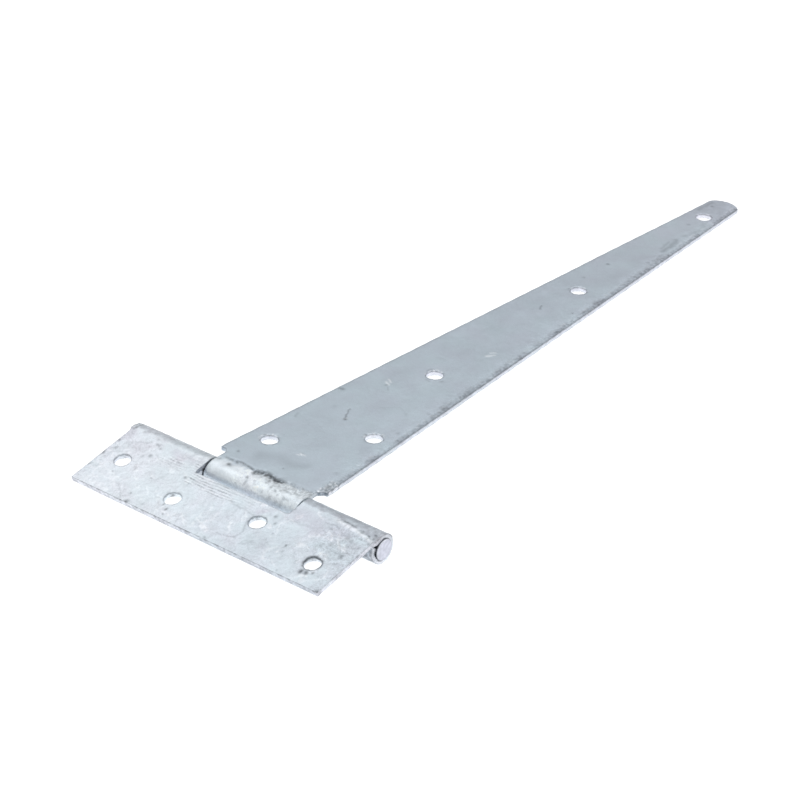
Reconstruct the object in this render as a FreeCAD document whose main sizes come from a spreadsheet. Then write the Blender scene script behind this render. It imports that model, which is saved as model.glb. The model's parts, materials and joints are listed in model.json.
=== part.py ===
import FreeCAD, Part
import Sketcher
import math
import os

# Galvanised tee hinge lying with its barrel down: a cross leaf for the post, a tapered strap
# for the gate, and the pin that joins them. Millimetres, +Z up, +X along the strap, +Y along
# the pin, origin on the floor below the middle of the hinge.
# Each piece is drawn round the pin axis with its sheet level, then turned into its lie.

SIZES = [
    ("sheet_thickness", 2.0, "sheet of the cross leaf and the strap"),
    ("edge_softness", 0.3, "rounding that the zinc leaves on sheared edges"),
    ("hole_diameter", 6.4, "every screw hole"),
    ("pin_diameter", 6.8, "pin"),
    ("pin_stand_out", 1.0, "how far the pin stands out of the barrel at each end"),
    ("pin_end_softness", 0.5, "rounding of the pin's ends"),
    ("pin_clearance", 0.1, "gap round the pin in the strap's knuckle"),
    ("leaf_curl_ease", 0.15, "extra radius of the cross leaf's looser knuckles"),
    ("curl_end_gap", 0.2, "gap between a knuckle's free end and its own sheet"),
    ("leaf_length", 116.0, "cross leaf along the pin"),
    ("leaf_reach", 33.5, "pin axis to the cross leaf's front edge"),
    ("leaf_back_row", 16.9, "pin axis to the two holes nearer the barrel"),
    ("leaf_front_margin", 10.4, "the other two holes from the leaf's front edge"),
    ("leaf_end_margin", 10.4, "outer holes from the leaf's ends, before their shift"),
    ("leaf_inner_holes", 17.2, "inner holes from the middle of the four"),
    ("leaf_hole_shift", 0.5, "middle of the four holes from the middle of the leaf"),
    ("slot_length", 44.0, "slot for the strap's knuckle, along the pin"),
    ("slot_front_gap", 2.0, "strap's knuckle to the slot's front edge"),
    ("slot_corner", 1.0, "inner corners of the slot"),
    ("slot_shift", -1.1, "middle of the slot from the middle of the leaf"),
    ("knuckle_side_gap", 0.7, "gap at each end of the strap's knuckle"),
    ("strap_length", 305.0, "pin axis to the strap's tip"),
    ("strap_shift", 0.5, "strap's middle line from the middle of its knuckle"),
    ("shoulder_gap", 3.25, "leaf's knuckles to the strap's shoulders"),
    ("shoulder_width", 4.0, "how far the shoulders stand out past the neck, before their shift"),
    ("strap_tip_width", 14.2, "strap across the start of its rounded tip"),
    ("strap_tip_rise", 3.2, "how far the rounded tip stands past its corners"),
    ("strap_hole_one", 23.4, "pin axis to the first hole, on the far side"),
    ("strap_hole_one_inset", 10.5, "first hole in from the far shoulder's corner"),
    ("strap_hole_two", 48.6, "pin axis to the second hole, on the near side"),
    ("strap_hole_two_inset", 11.9, "second hole in from the near shoulder's corner"),
    ("strap_hole_three", 100.3, "pin axis to the third hole"),
    ("strap_hole_four_shift", 0.7, "fourth hole past halfway from the third to the fifth"),
    ("strap_tip_margin", 19.7, "fifth hole from the strap's tip"),
    ("strap_hole_shift", -0.4, "last three holes from the strap's middle line"),
    ("leaf_droop", 9.4, "degrees that the cross leaf slopes down from the barrel"),
]

# How near two places have to lie to count as one
TOUCH = 0.01

# Sizes that follow from the sheet of sizes, as formulas on its names
PIN_RADIUS = "(Sizes.pin_diameter / 2)"
STRAP_CURL_INNER = f"({PIN_RADIUS} + Sizes.pin_clearance)"
STRAP_CURL_OUTER = f"({STRAP_CURL_INNER} + Sizes.sheet_thickness)"
LEAF_CURL_INNER = f"({STRAP_CURL_INNER} + Sizes.leaf_curl_ease)"
LEAF_CURL_OUTER = f"({LEAF_CURL_INNER} + Sizes.sheet_thickness)"
LEAF_CURL_OFFSET = "(Sizes.leaf_curl_ease / sqrt(2))"
LEAF_TOP = f"({LEAF_CURL_OUTER} + {LEAF_CURL_OFFSET})"
LEAF_UNDERSIDE = f"({LEAF_TOP} - Sizes.sheet_thickness)"
LEAF_HALF = "(Sizes.leaf_length / 2)"
LEAF_OUTER_HOLES = f"({LEAF_HALF} - Sizes.leaf_end_margin)"
LEAF_FRONT_ROW = "(Sizes.leaf_reach - Sizes.leaf_front_margin)"
SLOT_REACH = f"({STRAP_CURL_OUTER} + Sizes.slot_front_gap)"
KNUCKLE_LENGTH = "(Sizes.slot_length - 2 * Sizes.knuckle_side_gap)"
SHOULDER = f"({LEAF_CURL_OUTER} + Sizes.shoulder_gap)"
ROOT_HALF = f"({KNUCKLE_LENGTH} / 2 + Sizes.shoulder_width)"
HOLE_FIVE = "(Sizes.strap_length - Sizes.strap_tip_margin)"
HOLE_FOUR = f"((Sizes.strap_hole_three + {HOLE_FIVE}) / 2 + Sizes.strap_hole_four_shift)"
TIP_RADIUS = ("(((Sizes.strap_tip_width / 2) ^ 2 + Sizes.strap_tip_rise ^ 2)"
              " / (2 * Sizes.strap_tip_rise))")

# The lie: the cross leaf's knuckles and the strap's tip touch the floor
LEAF_DROOP = "(Sizes.leaf_droop * 1 deg)"
PIN_HEIGHT = f"({LEAF_CURL_OUTER} - {LEAF_CURL_OFFSET} * (cos({LEAF_DROOP}) - sin({LEAF_DROOP})))"
STRAP_DROOP = (f"(asin({PIN_HEIGHT} / sqrt(Sizes.strap_length ^ 2 + {STRAP_CURL_INNER} ^ 2))"
               f" + atan({STRAP_CURL_INNER} / Sizes.strap_length))")
STRAP_END = f"(Sizes.strap_length * cos({STRAP_DROOP}) + {STRAP_CURL_OUTER} * sin({STRAP_DROOP}))"
LEAF_END = f"(Sizes.leaf_reach * cos({LEAF_DROOP}) + {LEAF_TOP} * sin({LEAF_DROOP}))"
PIN_X = f"(({LEAF_END} - {STRAP_END}) / 2)"


def make_sizes(doc):
    """The sheet of sizes, with a name for each cell."""
    sheet = doc.addObject("Spreadsheet::Sheet", "Sizes")
    for row, (name, value, note) in enumerate(SIZES, start=1):
        sheet.set(f"A{row}", name)
        sheet.set(f"B{row}", str(value))
        sheet.setAlias(f"B{row}", name)
        sheet.set(f"C{row}", note)
    doc.recompute()
    return sheet


def value_of(doc, formula):
    """The number that a formula on the sheet of sizes gives now."""
    result = doc.Sizes.evalExpression(formula.replace("Sizes.", ""))
    return getattr(result, "Value", result)


def make_body(doc, label):
    body = doc.addObject("PartDesign::Body", label)
    body.Label = label
    return body


def make_sketch(body, name, plane):
    """A sketch on one of the body's own origin planes."""
    sketch = body.newObject("Sketcher::SketchObject", name)
    role = next(f for f in body.Origin.OriginFeatures if f.Role == plane)
    sketch.AttachmentSupport = [(role, "")]
    sketch.MapMode = "FlatFace"
    return sketch


def add_size(sketch, name, constraint, formula):
    """One named dimension of a sketch, bound to a formula."""
    index = sketch.addConstraint(constraint)
    sketch.renameConstraint(index, name)
    sketch.setExpression(f"Constraints.{name}", formula)


def fix_point(sketch, name, geometry, end, across, along):
    """Place one point of a sketch by its two distances from the origin; None means on the axis."""
    for axis, kind, formula in ((-2, "DistanceX", across), (-1, "DistanceY", along)):
        if formula is None:
            sketch.addConstraint(Sketcher.Constraint("PointOnObject", geometry, end, axis))
            continue
        point = sketch.getPoint(geometry, end)
        now = point.x if kind == "DistanceX" else point.y
        size = Sketcher.Constraint(kind, -1, 1, geometry, end, now)
        add_size(sketch, f"{name}_{kind[-1].lower()}", size, formula)


def at(doc, across, along):
    """The sketch point at two formulas, where None is zero."""
    numbers = [0.0 if formula is None else value_of(doc, formula) for formula in (across, along)]
    return FreeCAD.Vector(numbers[0], numbers[1], 0)


def draw_outline(doc, sketch, corners, arcs=None):
    """A closed run, counterclockwise, through corners, each (name, formula across, formula
    along). A side named in arcs by the corner that it leaves bulges outwards at a radius."""
    arcs = arcs or {}
    points = [at(doc, across, along) for _, across, along in corners]
    count = len(points)
    for i in range(count):
        start, stop = points[i], points[(i + 1) % count]
        if corners[i][0] not in arcs:
            sketch.addGeometry(Part.LineSegment(start, stop), False)
            continue
        formula = arcs[corners[i][0]]
        radius = value_of(doc, formula)
        chord = stop - start
        inwards = FreeCAD.Vector(-chord.y, chord.x, 0).normalize()
        middle = start + chord / 2 + inwards * math.sqrt(radius ** 2 - (chord.Length / 2) ** 2)
        first, last = [math.atan2(p.y - middle.y, p.x - middle.x) for p in (start, stop)]
        circle = Part.Circle(middle, FreeCAD.Vector(0, 0, 1), radius)
        sketch.addGeometry(Part.ArcOfCircle(circle, first, last), False)
        bulge = Sketcher.Constraint("Radius", i, radius)
        add_size(sketch, f"{corners[i][0]}_bulge", bulge, formula)
    for i in range(count):
        sketch.addConstraint(Sketcher.Constraint("Coincident", i, 2, (i + 1) % count, 1))
    for i, (name, across, along) in enumerate(corners):
        fix_point(sketch, name, i, 1, across, along)


def draw_holes(doc, sketch, places):
    """Screw holes at places, each (name, formula across, formula along)."""
    radius = value_of(doc, "Sizes.hole_diameter") / 2
    for name, across, along in places:
        centre = at(doc, across, along)
        circle = sketch.addGeometry(Part.Circle(centre, FreeCAD.Vector(0, 0, 1), radius), False)
        fix_point(sketch, name, circle, 3, across, along)
        width = Sketcher.Constraint("Diameter", circle, 2 * radius)
        add_size(sketch, f"{name}_width", width, "Sizes.hole_diameter")


def draw_curl(doc, sketch, side, inner, outer, centre, end_height):
    """Section of a rolled knuckle: sheet that leaves the top of the barrel on one side
    (side is -1 for the front and 1 for the back) and comes round to a free end."""
    middle = at(doc, *centre)
    small, large = value_of(doc, inner), value_of(doc, outer)
    rise = (value_of(doc, end_height) - middle.y) / large
    free_angle = math.asin(rise) if side < 0 else math.pi - math.asin(rise)
    top_angle = math.pi / 2
    first, last = (top_angle, free_angle) if side < 0 else (free_angle, top_angle)
    last += 2 * math.pi
    up = FreeCAD.Vector(0, 0, 1)
    for radius in (large, small):
        sketch.addGeometry(Part.ArcOfCircle(Part.Circle(middle, up, radius), first, last), False)
    top, free = (1, 2) if side < 0 else (2, 1)
    ends = [(sketch.getPoint(0, end), sketch.getPoint(1, end)) for end in (top, free)]
    for start, stop in ends:
        sketch.addGeometry(Part.LineSegment(start, stop), False)
    for line, end in ((2, top), (3, free)):
        sketch.addConstraint(Sketcher.Constraint("Coincident", line, 1, 0, end))
        sketch.addConstraint(Sketcher.Constraint("Coincident", line, 2, 1, end))
    sketch.addConstraint(Sketcher.Constraint("Coincident", 0, 3, 1, 3))
    sketch.addConstraint(Sketcher.Constraint("Vertical", 2))
    sketch.addConstraint(Sketcher.Constraint("Vertical", 0, 3, 0, top))
    sketch.addConstraint(Sketcher.Constraint("PointOnObject", 0, 3, 3))
    add_size(sketch, "outer_radius", Sketcher.Constraint("Radius", 0, large), outer)
    add_size(sketch, "inner_radius", Sketcher.Constraint("Radius", 1, small), inner)
    fix_point(sketch, "centre", 0, 3, *centre)
    height = Sketcher.Constraint("DistanceY", -1, 1, 0, free, sketch.getPoint(0, free).y)
    add_size(sketch, "free_end_height", height, end_height)


def pad(doc, body, name, sketch, length, offset=None, both_ways=False):
    """Thicken a sketch. The offset lifts the sketch's plane first."""
    if offset is not None:
        sketch.setExpression("AttachmentOffset.Base.z", offset)
    feature = body.newObject("PartDesign::Pad", name)
    feature.Profile = sketch
    feature.setExpression("Length", length)
    feature.Midplane = both_ways
    doc.recompute()
    return feature


def cut_through(doc, body, name, sketch):
    """Punch a sketch right through the body, and make sure that it cuts."""
    before = body.Shape.Volume
    feature = body.newObject("PartDesign::Pocket", name)
    feature.Profile = sketch
    feature.Type = "ThroughAll"
    feature.Midplane = True
    doc.recompute()
    if body.Shape.Volume >= before:
        raise RuntimeError(f"{name} cuts nothing")
    return feature


def round_edges(doc, body, name, feature, radius, wanted):
    """Round the edges of a feature for which wanted, given the edge, is true."""
    names = [f"Edge{i}" for i, edge in enumerate(feature.Shape.Edges, start=1) if wanted(edge)]
    fillet = body.newObject("PartDesign::Fillet", name)
    fillet.Base = (feature, names)
    fillet.setExpression("Radius", radius)
    doc.recompute()


def lie(body, turn, across="0"):
    """Turn a piece about the pin axis and set it down in the frame of the hinge."""
    body.Placement = FreeCAD.Placement(FreeCAD.Vector(), FreeCAD.Rotation(FreeCAD.Vector(0, 1, 0), 1))
    body.setExpression("Placement.Base.x", PIN_X)
    body.setExpression("Placement.Base.y", across)
    body.setExpression("Placement.Base.z", PIN_HEIGHT)
    body.setExpression("Placement.Rotation.Angle", turn)


def is_level(edge):
    """True for an edge that lies in one of a level sheet's faces."""
    return edge.BoundBox.ZLength < TOUCH


def make_cross_leaf(doc):
    """Oblong sheet with four holes, slotted for the strap, its back edge rolled into the
    two outer knuckles: over the pin, down the back and under."""
    body = make_body(doc, "cross_leaf")
    back = f"(-{LEAF_CURL_OFFSET})"
    plan = make_sketch(body, "leaf_plan", "XY_Plane")
    draw_outline(doc, plan, [
        ("front_near", "-Sizes.leaf_reach", f"-{LEAF_HALF}"),
        ("back_near", back, f"-{LEAF_HALF}"),
        ("back_far", back, LEAF_HALF),
        ("front_far", "-Sizes.leaf_reach", LEAF_HALF),
    ])
    sheet = pad(doc, body, "leaf_sheet", plan, "Sizes.sheet_thickness", offset=LEAF_UNDERSIDE)
    back_line = value_of(doc, back)
    round_edges(
        doc, body, "leaf_edges", sheet, "Sizes.edge_softness",
        lambda edge: is_level(edge) and edge.BoundBox.XMin < back_line - TOUCH)

    section = make_sketch(body, "leaf_curl_section", "XZ_Plane")
    end_height = f"({LEAF_UNDERSIDE} - Sizes.curl_end_gap)"
    draw_curl(doc, section, 1, LEAF_CURL_INNER, LEAF_CURL_OUTER, (back, LEAF_CURL_OFFSET), end_height)
    pad(doc, body, "leaf_curl", section, "Sizes.leaf_length", both_ways=True)

    slot = make_sketch(body, "slot_plan", "XY_Plane")
    near_end = "(Sizes.slot_shift - Sizes.slot_length / 2)"
    far_end = "(Sizes.slot_shift + Sizes.slot_length / 2)"
    past_barrel = f"(2 * {LEAF_CURL_OUTER})"
    draw_outline(doc, slot, [
        ("front_near", f"-{SLOT_REACH}", near_end),
        ("back_near", past_barrel, near_end),
        ("back_far", past_barrel, far_end),
        ("front_far", f"-{SLOT_REACH}", far_end),
    ])
    slotted = cut_through(doc, body, "slot", slot)
    slot_line = -value_of(doc, SLOT_REACH)
    round_edges(
        doc, body, "slot_corners", slotted, "Sizes.slot_corner",
        lambda edge: not is_level(edge) and abs(edge.BoundBox.XMin - slot_line) < TOUCH
        and edge.BoundBox.XLength < TOUCH)

    holes = make_sketch(body, "leaf_hole_plan", "XY_Plane")
    middle = "Sizes.leaf_hole_shift"
    draw_holes(doc, holes, [
        ("one", "-Sizes.leaf_back_row", f"({middle} + {LEAF_OUTER_HOLES})"),
        ("two", f"-{LEAF_FRONT_ROW}", f"({middle} + Sizes.leaf_inner_holes)"),
        ("three", "-Sizes.leaf_back_row", f"({middle} - Sizes.leaf_inner_holes)"),
        ("four", f"-{LEAF_FRONT_ROW}", f"({middle} - {LEAF_OUTER_HOLES})"),
    ])
    cut_through(doc, body, "leaf_holes", holes)
    lie(body, f"-{LEAF_DROOP}")
    return body


def make_strap(doc):
    """Tapered sheet with five holes and a rounded tip. Its narrow neck is rolled into the
    middle knuckle: over the pin, down the front and under."""
    body = make_body(doc, "strap")
    middle = "Sizes.strap_shift"
    neck = f"({KNUCKLE_LENGTH} / 2)"
    tip = "(Sizes.strap_tip_width / 2)"
    tip_corner = "(Sizes.strap_length - Sizes.strap_tip_rise)"
    plan = make_sketch(body, "strap_plan", "XY_Plane")
    draw_outline(doc, plan, [
        ("neck_near", None, f"-{neck}"),
        ("shoulder_near", SHOULDER, f"-{neck}"),
        ("root_near", SHOULDER, f"({middle} - {ROOT_HALF})"),
        ("tip_near", tip_corner, f"({middle} - {tip})"),
        ("tip_far", tip_corner, f"({middle} + {tip})"),
        ("root_far", SHOULDER, f"({middle} + {ROOT_HALF})"),
        ("shoulder_far", SHOULDER, neck),
        ("neck_far", None, neck),
    ], arcs={"tip_near": TIP_RADIUS})
    sheet = pad(doc, body, "strap_sheet", plan, "Sizes.sheet_thickness", offset=STRAP_CURL_INNER)
    shoulder_line = value_of(doc, SHOULDER)
    round_edges(
        doc, body, "strap_edges", sheet, "Sizes.edge_softness",
        lambda edge: is_level(edge) and edge.BoundBox.XMin > shoulder_line - TOUCH)

    section = make_sketch(body, "strap_curl_section", "XZ_Plane")
    end_height = f"({STRAP_CURL_INNER} - Sizes.curl_end_gap)"
    draw_curl(doc, section, -1, STRAP_CURL_INNER, STRAP_CURL_OUTER, (None, None), end_height)
    pad(doc, body, "strap_curl", section, KNUCKLE_LENGTH, both_ways=True)

    holes = make_sketch(body, "strap_hole_plan", "XY_Plane")
    hole_line = f"({middle} + Sizes.strap_hole_shift)"
    draw_holes(doc, holes, [
        ("one", "Sizes.strap_hole_one", f"({middle} + {ROOT_HALF} - Sizes.strap_hole_one_inset)"),
        ("two", "Sizes.strap_hole_two", f"({middle} - {ROOT_HALF} + Sizes.strap_hole_two_inset)"),
        ("three", "Sizes.strap_hole_three", hole_line),
        ("four", HOLE_FOUR, hole_line),
        ("five", HOLE_FIVE, hole_line),
    ])
    cut_through(doc, body, "strap_holes", holes)
    lie(body, STRAP_DROOP, across="Sizes.slot_shift")
    return body


def make_pin(doc):
    """Round rod through all three knuckles, standing a little out of the barrel."""
    body = make_body(doc, "hinge_pin")
    end = f"({LEAF_HALF} + Sizes.pin_stand_out)"
    half_section = make_sketch(body, "pin_half_section", "XY_Plane")
    draw_outline(doc, half_section, [
        ("axis_near", None, f"-{end}"),
        ("rim_near", PIN_RADIUS, f"-{end}"),
        ("rim_far", PIN_RADIUS, end),
        ("axis_far", None, end),
    ])
    turned = body.newObject("PartDesign::Revolution", "pin_rod")
    turned.Profile = half_section
    turned.ReferenceAxis = (half_section, ["V_Axis"])
    turned.Angle = 360
    doc.recompute()
    round_edges(
        doc, body, "pin_ends", turned, "Sizes.pin_end_softness",
        lambda edge: edge.BoundBox.YLength < TOUCH and not is_level(edge))
    lie(body, "0 deg")
    return body


def check(doc, bodies):
    """Stop if any object of the document failed, or any piece is not one good solid."""
    for thing in doc.Objects:
        if "Invalid" in thing.State or "Error" in thing.State:
            raise RuntimeError(f"{thing.Name} failed: {thing.State}")
    for body in bodies:
        shape = body.Shape
        if shape.isNull() or not shape.isValid() or len(shape.Solids) != 1:
            raise RuntimeError(f"{body.Label} is not one good solid")


def main():
    doc = FreeCAD.newDocument("tee_hinge")
    make_sizes(doc)
    bodies = [make_cross_leaf(doc), make_strap(doc), make_pin(doc)]
    doc.recompute()
    check(doc, bodies)
    os.makedirs("parts", exist_ok=True)
    for body in bodies:
        body.Shape.exportStep(f"parts/{body.Label}.step")
        box = body.Shape.BoundBox
        print(f"{body.Label}: volume {body.Shape.Volume:.1f}, x {box.XMin:.2f} to {box.XMax:.2f},"
              f" y {box.YMin:.2f} to {box.YMax:.2f}, z {box.ZMin:.3f} to {box.ZMax:.2f}")


main()
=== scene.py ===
import json
import math

import bpy
import numpy as np
from mathutils import Matrix, Vector, noise


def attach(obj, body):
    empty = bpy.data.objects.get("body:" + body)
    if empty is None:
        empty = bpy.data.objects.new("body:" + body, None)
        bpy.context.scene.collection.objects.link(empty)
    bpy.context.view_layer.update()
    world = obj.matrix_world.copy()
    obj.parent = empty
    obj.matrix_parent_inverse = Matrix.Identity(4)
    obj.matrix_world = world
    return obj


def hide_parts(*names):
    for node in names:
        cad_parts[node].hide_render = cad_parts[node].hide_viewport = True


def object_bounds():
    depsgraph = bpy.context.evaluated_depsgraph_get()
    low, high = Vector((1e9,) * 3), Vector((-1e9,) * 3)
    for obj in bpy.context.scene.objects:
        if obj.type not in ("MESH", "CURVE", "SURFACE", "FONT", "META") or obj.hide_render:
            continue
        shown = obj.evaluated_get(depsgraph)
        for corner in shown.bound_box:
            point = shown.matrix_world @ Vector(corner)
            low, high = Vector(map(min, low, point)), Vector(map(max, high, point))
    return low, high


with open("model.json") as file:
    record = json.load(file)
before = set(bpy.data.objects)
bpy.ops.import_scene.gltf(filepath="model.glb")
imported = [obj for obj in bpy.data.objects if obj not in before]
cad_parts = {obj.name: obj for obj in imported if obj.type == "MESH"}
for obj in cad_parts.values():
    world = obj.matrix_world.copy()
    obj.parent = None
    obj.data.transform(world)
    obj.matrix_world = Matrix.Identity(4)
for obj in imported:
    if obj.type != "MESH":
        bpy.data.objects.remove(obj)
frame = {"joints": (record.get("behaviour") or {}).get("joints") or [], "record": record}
cad_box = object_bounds()

MM = 0.001

# Where the hinge lies: the pin's middle, and how far each sheet is turned about it
pin_place = Vector(frame["joints"][0]["pos_m"])
face_of = {mount["name"]: mount["axis"] for mount in frame["record"]["mounts"]}
leaf_turn = math.atan2(face_of["leaf_face"][0], face_of["leaf_face"][2])
strap_turn = math.atan2(face_of["strap_face"][0], face_of["strap_face"][2])

# Sheet and pin, in metres. Each piece is made level, with the pin's middle at 0, 0, 0, the pin along Y
# and the strap toward X
sheet_thickness = 2.0 * MM
pin_radius = 3.4 * MM
pin_length = 118.0 * MM
pin_head_radius = 4.1 * MM
pin_head_length = 0.55 * MM
play = 0.1 * MM
roll_steps = 60
seam_gap = 0.2 * MM

# Points this close are one point, and a face looks squarely one way if its normal is this near to it
close_by = 0.01 * MM
squarely = 0.9

# Cross leaf. Its knuckles are rolled a little wider than the strap's, and a little off the pin's middle
leaf_ease = 0.15 * MM
leaf_roll_inner = pin_radius + play + leaf_ease
leaf_roll_outer = leaf_roll_inner + sheet_thickness
leaf_roll_shift = leaf_ease / math.sqrt(2)
leaf_top = leaf_roll_outer + leaf_roll_shift
leaf_under = leaf_top - sheet_thickness
leaf_half = 58.0 * MM
leaf_reach = 33.5 * MM
leaf_back_row = -16.9 * MM
leaf_front_row = -23.1 * MM
leaf_holes = [
    (leaf_back_row, 48.1 * MM),
    (leaf_front_row, 17.7 * MM),
    (leaf_back_row, -16.7 * MM),
    (leaf_front_row, -47.1 * MM),
]
slot_front = -7.8 * MM
slot_near = -23.1 * MM
slot_far = 20.9 * MM
slot_corner = 1.3 * MM

# Strap
strap_roll_inner = pin_radius + play
strap_roll_outer = strap_roll_inner + sheet_thickness
strap_top = strap_roll_outer
strap_under = strap_roll_inner
neck_near = -22.4 * MM
neck_far = 20.5 * MM
strap_middle = -0.6 * MM
root_half = 25.3 * MM
shoulder = 8.9 * MM
corner_fill = 1.4 * MM
tip_corner = 301.8 * MM
strap_tip = 305.0 * MM
tip_half = 7.1 * MM
tip_radius = 9.48 * MM
hole_line = -1.0 * MM
strap_holes = [
    (23.4 * MM, 14.2 * MM),
    (48.6 * MM, -14.0 * MM),
    (100.3 * MM, hole_line),
    (193.5 * MM, hole_line),
    (285.3 * MM, hole_line),
]
hole_radius = 3.2 * MM

# The zinc's own forms and marks are in millimetres, with places across and along from the pin's middle

# Radius of the rims round the screw holes
rim_radius = 3.3

# Scores on the cross leaf: line, width, height and darkness
leaf_scores = [
    ([(-4.2, 46.5), (-6.0, 50.0), (-8.0, 53.5)], 0.45, -0.03, 0.16),
    ([(-3.7, 41.8), (-3.8, 43.6)], 0.6, -0.08, 0.36),
    ([(-24.0, 25.0), (-27.0, 21.0), (-30.0, 18.0)], 0.40, 0.05, 0.12),
    ([(-25.0, 22.5), (-28.5, 19.0)], 0.35, 0.05, 0.18),
    ([(-27.5, 40.5), (-30.0, 37.0), (-33.0, 34.0)], 0.40, 0.03, 0.14),
    ([(-16.0, -13.0), (-20.0, -14.6), (-24.0, -15.6), (-27.0, -15.0), (-28.5, -12.0),
      (-28.6, -8.0)], 0.40, 0.04, 0.22),
    ([(-14.4, -13.0), (-14.2, -7.0), (-13.0, -1.0)], 0.40, -0.04, 0.18),
    ([(-8.5, -36.5), (-9.8, -33.0), (-9.6, -28.0), (-10.6, -24.5)], 0.45, 0.05, 0.14),
    ([(-9.5, -47.5), (-12.6, -50.8), (-16.0, -53.2)], 0.40, -0.06, 0.22),
    ([(-8.5, -55.5), (-10.2, -53.6)], 0.50, -0.05, 0.24),
    ([(-13.0, -55.0), (-14.8, -51.0), (-14.0, -47.5)], 0.40, -0.05, 0.22),
    ([(-4.5, -37.0), (-3.8, -41.0), (-4.6, -44.0)], 0.45, -0.04, 0.18),
    ([(-5.5, -40.0), (-7.2, -44.5), (-6.6, -48.0), (-7.8, -52.0)], 0.45, -0.05, 0.20),
    ([(-19.0, -56.5), (-19.6, -52.5), (-22.5, -51.0)], 0.40, -0.04, 0.18),
    ([(-8.0, 40.0), (-10.0, 36.0), (-9.0, 31.0)], 0.40, 0.04, 0.14),
    ([(-13.0, 52.0), (-15.0, 54.6), (-19.0, 54.0)], 0.45, 0.04, 0.14),
    ([(-3.0, 30.0), (-3.6, 26.0), (-3.0, 22.0)], 0.50, 0.05, 0.16),
]

# Pits in it: place, radius, depth and darkness
leaf_pits = [
    (-8.7, 57.4, 1.0, 0.12, 0.50), (-12.8, 55.3, 1.1, 0.06, 0.28), (-17.2, 57.2, 1.0, 0.12, 0.50),
    (-24.6, 57.2, 0.8, 0.10, 0.42), (-9.6, 41.0, 0.7, 0.12, 0.48), (-5.0, 40.1, 0.5, 0.06, 0.38),
    (-11.0, 43.7, 0.7, 0.05, 0.24), (-12.0, 22.0, 0.65, 0.10, 0.55), (-19.0, 31.8, 0.45, 0.06, 0.42),
    (-28.6, 33.0, 0.45, 0.06, 0.44), (-30.7, 24.6, 0.45, 0.05, 0.34), (-27.2, 18.3, 0.55, 0.07, 0.52),
    (-28.6, 15.8, 0.65, 0.10, 0.66), (-31.0, 14.9, 0.55, 0.07, 0.50), (-33.4, 31.0, 1.1, 0.20, 0.75),
    (-23.2, 46.9, 0.5, 0.05, 0.32), (-18.0, 40.5, 0.7, 0.04, 0.24), (-11.0, -20.6, 0.7, 0.07, 0.52),
    (-13.9, -22.7, 0.6, 0.07, 0.52), (-18.4, -25.3, 0.5, 0.04, 0.34), (-20.6, -33.2, 0.6, 0.10, 0.66),
    (-25.5, -21.6, 0.9, 0.03, 0.22), (-23.4, -26.8, 0.5, 0.04, 0.32), (-23.9, -34.2, 0.8, 0.03, 0.18),
    (-33.4, -58.0, 0.9, 0.25, 0.80), (-4.2, -24.0, 0.6, 0.06, 0.38), (-1.2, -51.5, 0.8, 0.10, 0.60),
    (-0.9, -56.4, 0.8, 0.12, 0.72), (-12.4, -45.5, 0.8, 0.04, 0.22), (-28.0, -46.2, 0.9, 0.18, 0.85),
    (-28.1, -48.3, 0.7, 0.12, 0.75), (-26.8, -50.4, 0.6, 0.10, 0.65), (-15.4, -53.6, 0.7, 0.08, 0.44),
    (-28.5, 0.5, 0.6, 0.03, 0.22), (-32.8, -6.0, 0.6, 0.05, 0.34), (-32.2, -39.0, 0.5, 0.05, 0.34),
    (-8.3, 20.4, 0.7, 0.12, 0.60), (-1.5, 45.0, 0.8, 0.05, 0.34), (-0.5, 52.0, 0.9, 0.05, 0.36),
]

# Tinted patches on it: line, width, darkness and violet
leaf_tints = [
    ([(-6.5, -27.0), (-7.0, -36.0)], 4.0, 0.07, 0.9),
    ([(-5.0, -44.0), (-6.5, -50.0)], 3.0, 0.06, 0.6),
    ([(-4.5, 33.0), (-4.5, 26.0)], 2.0, 0.07, 0.7),
    ([(-3.0, 56.5), (-8.0, 57.5)], 1.8, 0.08, 0.8),
    ([(-9.0, 52.0), (-7.0, 48.0)], 2.0, 0.10, 0.0),
    ([(-20.0, 4.0), (-22.0, -8.0)], 6.5, 0.0, 0.1),
    ([(-30.0, -2.0), (-29.0, -12.0)], 4.0, 0.0, 0.3),
    ([(-12.5, -13.5), (-11.0, -14.5)], 1.8, 0.04, 0.9),
    ([(-21.5, -21.0), (-24.0, -26.0)], 2.0, 0.08, 0.3),
    ([(-17.0, -30.0), (-24.0, -33.0)], 3.5, 0.03, 0.0),
    ([(-16.0, 34.0), (-23.0, 27.0)], 3.0, 0.05, 0.0),
    ([(-13.0, 36.0), (-10.5, 30.0)], 2.2, 0.07, 0.1),
]

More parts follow.
